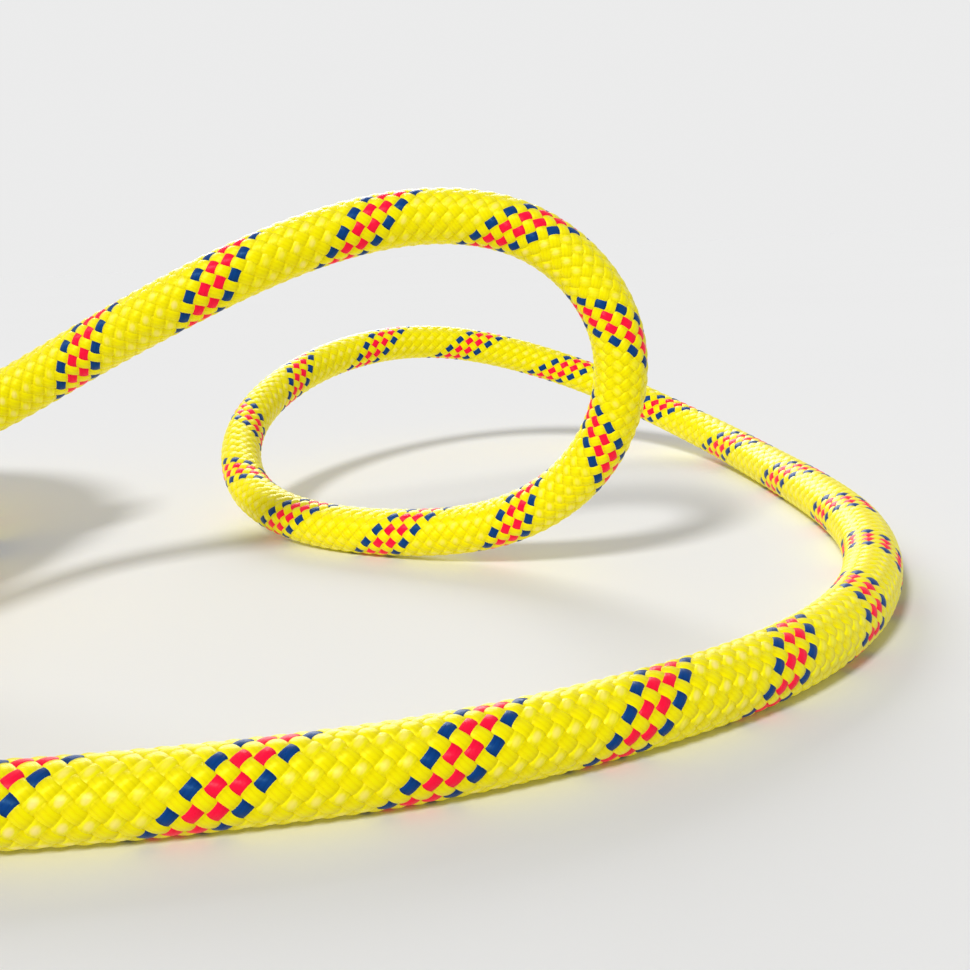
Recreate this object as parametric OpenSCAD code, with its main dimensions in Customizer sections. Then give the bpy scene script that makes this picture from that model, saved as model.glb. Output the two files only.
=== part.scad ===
// Dynamic climbing rope: a braided sheath over a bundle of core strands. One end
// stands in a loose loop, the rest lies in a round coil held by three fabric ties.
// Millimetres, +Z up, with the origin on the ground at the middle of the whole part.

/* [Rope] */
// Diameter over the sheath
rope_d = 10; // [9.5:0.1:10.5]
// Thickness of the braided sheath
sheath_wall = 1.05; // [0.9:0.05:1.15]
// Play between neighbouring core strands
strand_play = 0.03; // [0.02:0.01:0.08]

/* [Coil] */
// Radius of the outermost turn, at the middle of the rope
coil_r = 97.5; // [94:0.5:98]
// Turns in each layer
layer_turns = 5; // [3:1:5]
// Layers, one on another
layers = 4; // [2:2:4]
// Play between neighbouring turns
turn_play = 0.5; // [0.45:0.05:0.8]
// Length of the straight end that leaves the coil
coil_tail = 58; // [50:1:62]

/* [Rope ends] */
// Length of each end sleeve
sleeve_length = 38; // [30:1:38]
// Wall of an end sleeve
sleeve_wall = 0.75; // [0.5:0.05:0.8]
// Play between sleeve and sheath
sleeve_play = 0.15; // [0.1:0.05:0.2]
// Thickness of the melted seal on a rope end
seal_thickness = 3; // [2:0.5:4]

/* [Ties] */
// Width of a fabric tie
tie_width = 20; // [15:1:25]
// Thickness of a fabric tie
tie_thickness = 1; // [0.8:0.1:1.2]
// Length of the overlap where a tie closes on itself
tie_overlap = 26; // [20:1:28]

/* [Hidden] */

rope_r = rope_d / 2;
bore_r = rope_r - sheath_wall;
turn_pitch = rope_d + turn_play;
sleeve_bore_r = rope_r + sleeve_play;
sleeve_r = sleeve_bore_r + sleeve_wall;
// The coil's lowest turn lies on the ties, and the rope's ends on their sleeves.
rest_z = max(sleeve_r + 0.1, tie_thickness + rope_r);
end_lift = rest_z - rope_r;

// The turns stand over the front of the coil, and the last one runs on past it to
// where the loose stretch comes in.
coil_centre = [-98, -8, 0];
first_angle = -90;
run_on = 0.11;
turns = layers * layer_turns + run_on;
loop_rings = 24;
coil_sides = 6;

// Loose stretch: points of a uniform cubic B-spline, [x, y, height above lying flat].
// It runs from the free end, round a bend and a raised loop, over a low arch and on
// to the top of the coil. The last three points come from the coil itself.
loose_route = [
    [-35, -109, end_lift], [-11, -109, end_lift], [13, -109, end_lift],
    [36, -108, end_lift], [61, -108, 0], [85, -106, 0], [108, -103, 0],
    [131, -95, 0], [153, -84, 0], [171, -68, 0], [183, -48, 0], [191, -24, 0],
    [193, 0, 0], [192, 24, 0], [190, 48, 0], [185, 72, 2], [175, 93, 6],
    [157, 106, 15], [134, 111, 24], [109, 110, 31], [87, 103, 32],
    [68, 89, 28], [55, 67, 20], [53, 45, 11], [60, 25, 3], [76, 8, 0],
    [99, -5, 0], [123, -14, 3], [141, -23, 18], [146, -27, 43], [130, -22, 63],
    [105, -20, 66], [82, -26, 60], [61, -28, 51], [40, -21, 42],
    [15, -23, 29], [0, -42, 32]
];
route_step = 24;
rings_per_step = 2;
sheath_sides = 12;
strand_sides = 5;

// Core: three strands in the middle and nine round them.
inner_strands = 3;
outer_strands = 9;
strand_r = bore_r * cos(180 / sheath_sides) / 4.03 - strand_play / 2;
inner_ring_r = 1.155 * (strand_r + strand_play / 2);
outer_ring_r = 3.03 * (strand_r + strand_play / 2);

// Angles of the ties round the coil.
tie_angles = [15, 120, 225];
tie_play = 0.2;
tie_corner_r = 5;
corner_steps = 6;

sheath_colour = "#f0e61e";
core_colour = "#f4f2ea";
sleeve_colour = "#1c1d20";
seal_colour = "#c9b21c";
tie_colour = "#23252b";

function unit(v) = v / norm(v);
function eased(x) = let (c = min(max(x, 0), 1)) c * c * (3 - 2 * c);
function sum_of(v) = len(v) == 0 ? 0 : v * [for (x = v) 1];

// Position along the coil: t counts turns from the end on the ground. Each layer
// spirals in or out by one turn's width a turn, and the climb to the next layer
// takes the half turn where the spiral reverses.
function layer_of(t) = min(floor(max(t, 0) / layer_turns), layers - 1);
function turns_in(t) =
    let (k = layer_of(t), part = t - k * layer_turns)
    k % 2 == 0 ? part : layer_turns - part;
function climbed(t) =
    sum_of([for (k = [1:layers - 1]) eased((t - k * layer_turns) / 0.5 + 0.5)]);
function coil_radius(t) = coil_r - turn_pitch * turns_in(t);
function coil_point(t) =
    let (a = first_angle + 360 * t, r = coil_radius(t))
    coil_centre + [r * cos(a), r * sin(a), rest_z + turn_pitch * climbed(t)];
function coil_heading(t) = unit(coil_point(t + 0.001) - coil_point(t - 0.001));

// Straight ends: the ground end leaves along -X, the top end runs one diameter on.
tail_start = coil_point(0);
tail_end = tail_start - [coil_tail, 0, 0];
entry_heading = coil_heading(turns - 0.001);
entry_point = coil_point(turns) + rope_d * entry_heading;
coil_line = concat(
    [tail_end, (tail_start + tail_end) / 2],
    [for (i = [0:floor(turns * loop_rings)]) coil_point(i / loop_rings)],
    [coil_point(turns), entry_point]
);
coil_headings = [
    for (i = [0:len(coil_line) - 1])
        i < 2 ? [1, 0, 0]
        : i > len(coil_line) - 3 ? entry_heading
        : unit(coil_line[i + 1] - coil_line[i - 1])
];

// Least gap between turns, measured between the ring centres of different turns.
function least_gap(line, skip) =
    min([
        for (i = [0:len(line) - skip - 1])
            min([for (j = [i + skip:len(line) - 1]) norm(line[j] - line[i])])
    ]) - rope_d;
echo(least_gap_between_turns = least_gap(coil_line, round(loop_rings * 0.6)));

// Loose stretch as points and steady frames.
route = concat(
    [for (p = loose_route) [p[0], p[1], rope_r + p[2]]],
    [
        entry_point + route_step * entry_heading,
        entry_point,
        entry_point - route_step * entry_heading
    ]
);
function spline_weights(u) =
    [
        pow(1 - u, 3),
        3 * pow(u, 3) - 6 * pow(u, 2) + 4,
        -3 * pow(u, 3) + 3 * pow(u, 2) + 3 * u + 1,
        pow(u, 3)
    ] / 6;
function spline_point(p, k, u) = spline_weights(u) * [for (i = [0:3]) p[k + i]];
spans = len(route) - 3;
loose_line = [
    for (i = [0:spans * rings_per_step])
        let (k = min(floor(i / rings_per_step), spans - 1))
        spline_point(route, k, i / rings_per_step - k)
];
loose_headings = [
    for (i = [0:len(loose_line) - 1])
        i == 0 ? [1, 0, 0]
        : i == len(loose_line) - 1 ? -entry_heading
        : unit(loose_line[i + 1] - loose_line[i - 1])
];
// Each ring's side direction is the last one's, turned as little as possible.
function carried(side, heading) = unit(side - (side * heading) * heading);
function carried_sides(headings, i, side, done) =
    i == len(headings) ? done
    : let (next = carried(side, headings[i]))
      carried_sides(headings, i + 1, next, concat(done, [next]));
loose_sides = carried_sides(loose_headings, 0, [0, 1, 0], []);
loose_length = sum_of([for (i = [1:len(loose_line) - 1]) norm(loose_line[i] - loose_line[i - 1])]);
coil_length = sum_of([for (i = [1:len(coil_line) - 1]) norm(coil_line[i] - coil_line[i - 1])]);
echo(loose_length = loose_length, coil_length = coil_length);

// A ring of n points of radius r round centre + offset, in the ring's own plane.
function ring(centre, heading, side, r, n, offset = [0, 0], turn = 0) =
    let (up = cross(heading, side))
    [
        for (i = [0:n - 1])
            let (a = turn + 360 * i / n)
            centre + (offset[0] + r * cos(a)) * side + (offset[1] + r * sin(a)) * up
    ];

// Side faces between two loops of n points that start at a and b.
function band_faces(a, b, n) = [
    for (i = [0:n - 1], half = [0, 1])
        let (j = (i + 1) % n)
        half == 0 ? [a + i, a + j, b + j] : [a + i, b + j, b + i]
];

module solid_sweep(rings) {
    n = len(rings[0]);
    last = (len(rings) - 1) * n;
    points = [for (r = rings, p = r) p];
    faces = concat(
        [for (i = [1:n - 2]) [0, i + 1, i]],
        [for (k = [0:len(rings) - 2], f = band_faces(k * n, (k + 1) * n, n)) f],
        [for (i = [1:n - 2]) [last, last + i, last + i + 1]]
    );
    polyhedron(points = points, faces = [for (f = faces) [f[0], f[2], f[1]]], convexity = 12);
}

module hollow_sweep(outer, inner) {
    n = len(outer[0]);
    rings = len(outer);
    points = concat([for (r = outer, p = r) p], [for (r = inner, p = r) p]);
    base = rings * n;
    last = (rings - 1) * n;
    faces = concat(
        [for (k = [0:rings - 2], f = band_faces(k * n, (k + 1) * n, n)) f],
        [for (k = [0:rings - 2], f = band_faces(base + (k + 1) * n, base + k * n, n)) f],
        band_faces(base, 0, n),
        band_faces(last, base + last, n)
    );
    polyhedron(points = points, faces = [for (f = faces) [f[0], f[2], f[1]]], convexity = 12);
}

function loose_rings(r, n, offset = [0, 0], turn = 0) = [
    for (i = [0:len(loose_line) - 1])
        ring(loose_line[i], loose_headings[i], loose_sides[i], r, n, offset, turn)
];

module sheath_free_stretch() {
    color(sheath_colour)
        hollow_sweep(loose_rings(rope_r, sheath_sides), loose_rings(bore_r, sheath_sides));
}

module core_strand(number) {
    inner = number <= inner_strands;
    angle = inner
        ? 360 * (number - 1) / inner_strands
        : 360 * (number - inner_strands - 0.5) / outer_strands;
    reach = inner ? inner_ring_r : outer_ring_r;
    color(core_colour)
        solid_sweep(loose_rings(strand_r, strand_sides, reach * [cos(angle), sin(angle)], angle));
}

// The sides of the coil's rope are level, so its turns lie flat on the ties.
module rope_coil() {
    color(sheath_colour)
        solid_sweep([
            for (i = [0:len(coil_line) - 1])
                let (side = unit(cross([0, 0, 1], coil_headings[i])))
                ring(coil_line[i], coil_headings[i], side, rope_r, coil_sides)
        ]);
}

// A sleeve and a seal are drawn along +X from the rope's end face at x = 0, and
// the rope fills the sleeve from there on.
module end_sleeve() {
    color(sleeve_colour)
        translate([-seal_thickness, 0, 0])
            rotate([0, 90, 0])
                difference() {
                    cylinder(r = sleeve_r, h = sleeve_length, $fn = 64);
                    translate([0, 0, -1])
                        cylinder(r = sleeve_bore_r, h = sleeve_length + 2, $fn = 64);
                }
}

module end_seal() {
    rim = 1;
    r = rope_r - 0.1;
    outline = concat(
        [[0, 0], [r, 0]],
        [
            for (a = [0:15:90])
                [r - rim + rim * cos(a), seal_thickness - rim + rim * sin(a)]
        ],
        [[0, seal_thickness]]
    );
    color(seal_colour)
        rotate([0, -90, 0])
            rotate_extrude($fn = 64)
                polygon(outline);
}

// Both ends point along -X, the loose one and the coil's.
module at_loose_end() {
    translate(loose_line[0]) children();
}

module at_coil_end() {
    translate(tail_end) children();
}

// Outline of a rectangle from (x0, y0) to (x1, y1) with round corners.
function round_outline(x0, y0, x1, y1, r) = [
    for (corner = [0:3], i = [0:corner_steps])
        let (
            a = 90 * corner + 90 * i / corner_steps,
            cx = corner == 0 || corner == 3 ? x1 - r : x0 + r,
            cy = corner < 2 ? y1 - r : y0 + r
        )
        [cx + r * cos(a), cy + r * sin(a)]
];

// A tie is a band round all the turns at one angle, with its end lapped over the
// outside. The coil is narrowest at the back, so each tie is drawn to its own width.
module tie_strap(angle) {
    part = (angle - first_angle) / 360;
    wide = max(part, 1 - part);
    near = coil_r - turn_pitch * (layer_turns - 1 + wide) - rope_r - tie_play;
    far = coil_r - turn_pitch * (1 - wide) + rope_r + tie_play;
    top = rest_z + turn_pitch * (layers - 1) + rope_r + tie_play;
    t = tie_thickness;
    lap = tie_overlap / 2;
    color(tie_colour)
        translate(coil_centre)
            rotate([90, 0, angle])
                linear_extrude(height = tie_width, center = true)
                    difference() {
                        union() {
                            polygon(round_outline(near - t, 0, far + t, top + t, tie_corner_r + t));
                            translate([far, top / 2 - lap])
                                square([2 * t, 2 * lap]);
                        }
                        polygon(round_outline(near, t, far, top, tie_corner_r));
                    }
}

sheath_free_stretch();
core_strand(1);  // core_strand_01
core_strand(2);  // core_strand_02
core_strand(3);  // core_strand_03
core_strand(4);  // core_strand_04
core_strand(5);  // core_strand_05
core_strand(6);  // core_strand_06
core_strand(7);  // core_strand_07
core_strand(8);  // core_strand_08
core_strand(9);  // core_strand_09
core_strand(10);  // core_strand_10
core_strand(11);  // core_strand_11
core_strand(12);  // core_strand_12
rope_coil();
at_loose_end() end_sleeve();  // end_sleeve_loop_side
at_coil_end() end_sleeve();  // end_sleeve_coil_side
at_loose_end() end_seal();  // end_seal_loop_side
at_coil_end() end_seal();  // end_seal_coil_side
tie_strap(tie_angles[0]);  // tie_strap_1
tie_strap(tie_angles[1]);  // tie_strap_2
tie_strap(tie_angles[2]);  // tie_strap_3
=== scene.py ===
"""Dynamic climbing rope: a braided sheath over a strand core, with sleeved ends.

The loose stretch is braided from twenty real yarns, each a mesh of its own that passes
over and under the others. The rest of the rope lies in a round coil under three ties.
Everything is in metres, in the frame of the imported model.
"""

import logging
import math
from dataclasses import dataclass, field
from enum import Enum
from typing import Callable, Optional, Sequence

import bpy
import numpy as np
from mathutils import Matrix, Vector

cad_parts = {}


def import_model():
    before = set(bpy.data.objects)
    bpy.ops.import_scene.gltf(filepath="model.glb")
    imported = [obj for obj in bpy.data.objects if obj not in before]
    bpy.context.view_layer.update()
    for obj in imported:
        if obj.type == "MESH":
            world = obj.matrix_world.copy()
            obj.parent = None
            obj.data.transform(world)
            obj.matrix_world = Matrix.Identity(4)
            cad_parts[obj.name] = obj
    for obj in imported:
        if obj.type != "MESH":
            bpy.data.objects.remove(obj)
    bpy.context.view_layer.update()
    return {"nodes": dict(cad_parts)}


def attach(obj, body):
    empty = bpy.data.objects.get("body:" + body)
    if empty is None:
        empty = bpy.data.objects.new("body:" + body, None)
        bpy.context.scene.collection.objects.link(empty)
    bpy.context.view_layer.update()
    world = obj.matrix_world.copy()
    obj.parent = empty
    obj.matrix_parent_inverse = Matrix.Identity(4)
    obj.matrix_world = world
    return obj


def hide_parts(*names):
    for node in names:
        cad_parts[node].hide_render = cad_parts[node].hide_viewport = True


log = logging.getLogger("rope")

TAU = 2.0 * math.pi
MM = 0.001
IMAGE_SIDE = 970
YARN_MAP = "Yarn"
SHARP_EDGE = math.radians(60.0)
# Degrees round the coil's axis, from +X towards +Y.
TIE_ANGLES = (15.0, 120.0, 225.0)

Colour = tuple[float, float, float]
Socket = bpy.types.NodeSocket
Values = np.ndarray | float
# Scale and detail of a noise texture.
Grain = tuple[float, float]
# Slope and offset of a straight ramp over a value.
Ramp = tuple[float, float]


class Winding(Enum):
    """Sense in which a yarn winds round the rope, as seen along it."""

    LEFT = -1
    RIGHT = 1


class YarnColour(Enum):
    """Dye of a sheath yarn, or a lit copy of the lemon with a painted highlight. The value is its
    material's place on a braided mesh.
    """

    LEMON = 0
    NAVY = 1
    CRIMSON = 2
    LEMON_PAINTED_LIGHT = 3


# ---------------------------------------------------------------- centre line


@dataclass(frozen=True)
class Strand:
    """Centre line with frames: row k of each array belongs to arc length[k]."""

    length: np.ndarray
    centre: np.ndarray
    heading: np.ndarray
    side: np.ndarray
    up: np.ndarray

    @classmethod
    def through(cls, points: np.ndarray, first_side: Sequence[float]) -> "Strand":
        """Carry a frame along points, turned as little as possible.

        Args:
            points: N x 3 positions, close together.
            first_side: Direction that the first side vector is nearest to.

        Returns:
            The strand through the points.
        """
        heading = np.gradient(points, axis=0)
        heading /= np.linalg.norm(heading, axis=1)[:, None]
        side = np.empty_like(points)
        carried = np.array(first_side, float)
        for k, along in enumerate(heading):
            carried = carried - (carried @ along) * along
            carried /= math.sqrt(carried @ carried)
            side[k] = carried
        steps = np.linalg.norm(np.diff(points, axis=0), axis=1)
        length = np.concatenate([[0.0], np.cumsum(steps)])
        return cls(length, points, heading, side, np.cross(heading, side))

    def _between(self, rows: np.ndarray, s: Values) -> np.ndarray:
        """Rows of one of the arrays, interpolated at arc lengths s."""
        return np.stack([np.interp(s, self.length, rows[:, k]) for k in range(3)], -1)

    def axis(self, s: Values) -> np.ndarray:
        """Positions on the centre line at arc lengths s."""
        return self._between(self.centre, s)

    def surface(self, s: np.ndarray, angle: np.ndarray, radius: np.ndarray) -> np.ndarray:
        """Points at a distance from the centre line.

        Args:
            s: Arc lengths.
            angle: Angles from the side vector towards the up vector.
            radius: Distances from the centre line.

        Returns:
            Positions, with one more axis than the arguments, which fit one another.
        """
        side, up = self._between(self.side, s), self._between(self.up, s)
        out = np.cos(angle)[..., None] * side + np.sin(angle)[..., None] * up
        return self.axis(s) + radius[..., None] * out


@dataclass
class RopeRoute:
    """Where the rope lies: a loose stretch, then a coil in layers, then a short tail."""

    rope_r: float = 0.005
    rest_z: float = 0.006
    sample_step: float = 0.0005
    coil_centre: tuple[float, float] = (-0.098, -0.008)
    coil_r: float = 0.0975
    turn_pitch: float = 0.0105
    layer_turns: int = 5
    layers: int = 4
    climb_turns: float = 0.5
    first_angle: float = -90.0
    run_on: float = 0.11
    run_in: float = 0.010
    heading_turns: float = 0.002
    tail: float = 0.058
    route_step: float = 0.024
    # x, y and the height above lying flat, of the loose stretch's control points.
    loose: tuple[tuple[float, float, float], ...] = (
        (-0.035, -0.109, 0.001), (-0.011, -0.109, 0.001), (0.013, -0.109, 0.001),
        (0.036, -0.108, 0.001), (0.061, -0.108, 0.000), (0.085, -0.106, 0.000),
        (0.108, -0.103, 0.000), (0.131, -0.095, 0.000), (0.153, -0.084, 0.000),
        (0.171, -0.068, 0.000), (0.183, -0.048, 0.000), (0.191, -0.024, 0.000),
        (0.193, 0.000, 0.000), (0.192, 0.024, 0.000), (0.190, 0.048, 0.000),
        (0.185, 0.072, 0.002), (0.175, 0.093, 0.006), (0.157, 0.106, 0.015),
        (0.134, 0.111, 0.024), (0.109, 0.110, 0.031), (0.087, 0.103, 0.032),
        (0.068, 0.089, 0.028), (0.055, 0.067, 0.020), (0.053, 0.045, 0.011),
        (0.060, 0.025, 0.003), (0.076, 0.008, 0.000), (0.099, -0.005, 0.000),
        (0.123, -0.014, 0.003), (0.141, -0.023, 0.018), (0.146, -0.027, 0.043),
        (0.130, -0.022, 0.063), (0.105, -0.020, 0.066), (0.082, -0.026, 0.060),
        (0.061, -0.028, 0.051), (0.040, -0.021, 0.042), (0.015, -0.023, 0.029),
        (0.000, -0.042, 0.032),
    )  # fmt: skip
    strand: Strand = field(init=False)
    loose_length: float = field(init=False)
    turn_marks: np.ndarray = field(init=False)

    def __post_init__(self) -> None:
        """Sample the whole line once, from the loose end to the end of the tail."""
        loose = self._loose_points()
        turns, coil = self._coil_points()
        points = np.concatenate([loose[:-1], coil])
        self.strand = Strand.through(points, (0.0, 1.0, 0.0))
        self.loose_length = float(self.strand.length[len(loose) - 1])
        in_coil = self.strand.length[len(loose) - 1 :]
        self.turn_marks = np.array([turns[::-1], in_coil[::-1]])

    @property
    def turns(self) -> float:
        """Turns in the coil, from the tail to where the loose stretch comes in."""
        return self.layers * self.layer_turns + self.run_on

    @property
    def length(self) -> float:
        """Length of the whole rope."""
        return float(self.strand.length[-1])

    def at_turn(self, t: float) -> float:
        """Arc length from the loose end at which the coil has t turns left."""
        return float(np.interp(t, *self.turn_marks))

    def part_turn(self, angle: float) -> float:
        """Part of a turn at which the coil stands at an angle in degrees."""
        return (angle - self.first_angle) / 360.0

    def coil_point(self, t: np.ndarray) -> np.ndarray:
        """Position in the coil.

        Args:
            t: Turns from the tail's end of the coil.

        Returns:
            N x 3 positions.
        """
        layer = np.clip(np.floor(t / self.layer_turns), 0, self.layers - 1)
        part = t - layer * self.layer_turns
        inward = np.where(layer % 2 == 0, part, self.layer_turns - part)
        radius = self.coil_r - self.turn_pitch * inward
        climbed = np.zeros_like(t)
        for k in range(1, self.layers):
            past = (t - k * self.layer_turns) / self.climb_turns
            share = np.clip(past + 0.5, 0.0, 1.0)
            climbed += share * share * (3.0 - 2.0 * share)
        angle = np.radians(self.first_angle) + TAU * t
        x = self.coil_centre[0] + radius * np.cos(angle)
        y = self.coil_centre[1] + radius * np.sin(angle)
        return np.stack([x, y, self.rest_z + self.turn_pitch * climbed], -1)

    def _entry(self) -> tuple[np.ndarray, np.ndarray]:
        """Find where the loose stretch meets the coil.

        Returns:
            The point, and the coil's heading there.
        """
        ends = np.array([self.turns - self.heading_turns, self.turns])
        before, last = self.coil_point(ends)
        heading = (last - before) / np.linalg.norm(last - before)
        return last + self.run_in * heading, heading

    def _loose_points(self) -> np.ndarray:
        """Sample the loose stretch on a uniform cubic B-spline.

        Returns:
            N x 3 positions, up to and with the point where it meets the coil.
        """
        entry, heading = self._entry()
        hand = np.array(self.loose) + (0.0, 0.0, self.rope_r)
        ahead = [entry + k * self.route_step * heading for k in (1, 0, -1)]
        control = np.concatenate([hand, ahead])
        per_span = round(self.route_step / self.sample_step)
        u = np.arange(per_span) / per_span
        weights = np.stack(
            [(1 - u) ** 3, 3 * u**3 - 6 * u**2 + 4, -3 * u**3 + 3 * u**2 + 3 * u + 1, u**3], -1
        ) / 6.0
        spans = [weights @ control[k : k + 4] for k in range(len(control) - 3)]
        last = np.array([1.0, 4.0, 1.0]) / 6.0 @ control[-3:]
        return np.concatenate([*spans, [last]])

    def _coil_points(self) -> tuple[np.ndarray, np.ndarray]:
        """Sample the coil from where the loose stretch comes in to the tail's end.

        Returns:
            The turn count and the position of each sample.
        """
        entry, _ = self._entry()
        count = int(TAU * self.coil_r * self.turns / self.sample_step)
        t = np.linspace(self.turns, 0.0, count)
        start = self.coil_point(np.zeros(1))[0]
        tail_steps = np.arange(1, round(self.tail / self.sample_step) + 1)
        tail = start - np.outer(tail_steps * self.sample_step, (1.0, 0.0, 0.0))
        points = np.concatenate([[entry], self.coil_point(t), tail])
        turns = np.concatenate([[self.turns], t, -tail_steps * self.sample_step / TAU])
        return turns, points


# ---------------------------------------------------------------- meshes


def new_piece(
    name: str,
    points: np.ndarray,
    faces: Sequence[np.ndarray],
    uv: Sequence[np.ndarray],
    paint: Optional[Sequence[np.ndarray]] = None,
) -> bpy.types.Object:
    """Make a smooth mesh object at the origin.

    Args:
        name: The piece's name.
        points: N x 3 positions.
        faces: Groups of faces, each an array of one corner count.
        uv: For each group, the UV of each face corner.
        paint: For each group, the material place of each face.

    Returns:
        The new object, linked to the scene.
    """
    mesh = bpy.data.meshes.new(name)
    corners = np.concatenate([f.ravel() for f in faces]).astype(np.int32)
    counts = np.concatenate([np.full(len(f), f.shape[1]) for f in faces])
    mesh.vertices.add(len(points))
    mesh.vertices.foreach_set("co", np.asarray(points, np.float32).ravel())
    mesh.loops.add(len(corners))
    mesh.loops.foreach_set("vertex_index", corners)
    mesh.polygons.add(len(counts))
    starts = np.concatenate([[0], np.cumsum(counts)[:-1]]).astype(np.int32)
    mesh.polygons.foreach_set("loop_start", starts)
    mesh.polygons.foreach_set("use_smooth", np.ones(len(counts), bool))
    if paint is not None:
        places = np.concatenate([p.ravel() for p in paint]).astype(np.int32)
        mesh.polygons.foreach_set("material_index", places)
    mesh.update(calc_edges=True)
    layer = mesh.uv_layers.new(name=YARN_MAP)
    flat = np.concatenate([m.reshape(-1, 2) for m in uv]).astype(np.float32)
    layer.data.foreach_set("uv", flat.ravel())
    mesh.validate()
    piece = bpy.data.objects.new(name, mesh)
    bpy.context.scene.collection.objects.link(piece)
    return piece


def band_quads(rings: int, sides: int, base: int = 0) -> np.ndarray:
    """Quads between neighbouring closed rings of points.

    Args:
        rings: Number of rings.
        sides: Points in a ring.
        base: Number of the first ring's first point.

    Returns:
        One row of four point numbers for each quad.
    """
    k, j = np.meshgrid(np.arange(rings - 1), np.arange(sides), indexing="ij")
    nearer, farther = base + k * sides, base + (k + 1) * sides
    following = (j + 1) % sides
    quads = [nearer + j, nearer + following, farther + following, farther + j]
    return np.stack(quads, -1).reshape(-1, 4)


def points_of(piece: bpy.types.Object) -> np.ndarray:
    """Read the positions of a piece's vertices.

    Args:
        piece: The piece.

    Returns:
        N x 3 positions.
    """
    flat = np.zeros(3 * len(piece.data.vertices), np.float32)
    piece.data.vertices.foreach_get("co", flat)
    return flat.reshape(-1, 3)


def select_only(piece: bpy.types.Object) -> None:
    """Make a piece the one that the next operator acts on.

    Args:
        piece: The piece.
    """
    bpy.ops.object.select_all(action="DESELECT")
    piece.select_set(True)
    bpy.context.view_layer.objects.active = piece


def settle(piece: bpy.types.Object) -> None:
    """Move a piece's place into its mesh and leave its object at the origin."""
    select_only(piece)
    bpy.ops.object.transform_apply(location=True, rotation=True, scale=True)


def take_up(name: str) -> bpy.types.Object:
    """Name the primitive that was just added and settle it.

    Args:
        name: The piece's name.

    Returns:
        The piece.
    """
    piece = bpy.context.active_object
    piece.name = name
    piece.data.name = name
    settle(piece)
    return piece


def edit_all() -> None:
    """Open the active piece for editing, with all of it selected."""
    bpy.ops.object.mode_set(mode="EDIT")
    bpy.ops.mesh.select_all(action="SELECT")


def close_outwards() -> None:
    """Turn all faces of the edited piece outwards and leave edit mode."""
    bpy.ops.mesh.select_all(action="SELECT")
    bpy.ops.mesh.normals_make_consistent(inside=False)
    bpy.ops.object.mode_set(mode="OBJECT")


def draw_on(step: Sequence[float]) -> None:
    """Extrude what is selected in the edited piece by a step."""
    bpy.ops.mesh.extrude_region_move(TRANSFORM_OT_translate={"value": tuple(map(float, step))})


def thicken(piece: bpy.types.Object, thickness: float, offset: float, edge: float) -> None:
    """Give a sheet its wall, and soften the wall's sharp edges.

    Args:
        piece: The sheet.
        thickness: The wall's thickness.
        offset: The side it grows to: -1 is inwards, and 0 is both ways alike.
        edge: Width of the bevel along its edges.
    """
    wall = piece.modifiers.new("wall", "SOLIDIFY")
    wall.thickness, wall.offset = thickness, offset
    soften = piece.modifiers.new("edge", "BEVEL")
    soften.width, soften.segments = edge, 2
    soften.limit_method, soften.angle_limit = "ANGLE", SHARP_EDGE
    select_only(piece)
    for modifier in (wall, soften):
        bpy.ops.object.modifier_apply(modifier=modifier.name)


def enter(piece: bpy.types.Object, node: Optional[str] = None) -> None:
    """Enter a piece in the part's table and report it. The rope has one body.

    Args:
        piece: The piece.
        node: The CAD node that it stands for, if there is one.
    """
    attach(piece, "root")
    if node:
        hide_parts(node)
    log.info("%s: %d faces", piece.name, len(piece.data.polygons))


# ---------------------------------------------------------------- shader helpers


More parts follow.
